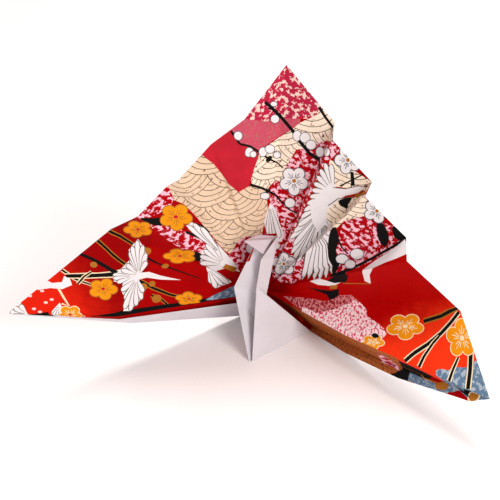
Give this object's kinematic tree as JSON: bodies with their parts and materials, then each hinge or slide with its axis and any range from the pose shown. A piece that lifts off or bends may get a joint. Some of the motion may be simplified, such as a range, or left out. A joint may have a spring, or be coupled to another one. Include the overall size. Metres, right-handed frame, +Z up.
{
  "type": "origami crane",
  "caption": "Celebration crane folded from one square of printed paper, with a pleated fan tail between two spread wings.",
  "frame": {"origin": "bottom centre of the crane's bounding box, on the table below the middle of the model", "axes": "+Z up; +X from the left wing's tip towards the right wing's, as seen from the front; the crane looks towards -Y and a little towards -X"},
  "size_m": [0.1696, 0.0726, 0.1176],
  "materials": {
    "printed_paper": "matte"
  },
  "bodies": {
    "root": {"folded_sheet": "printed_paper"}
  },
  "joints": []
}
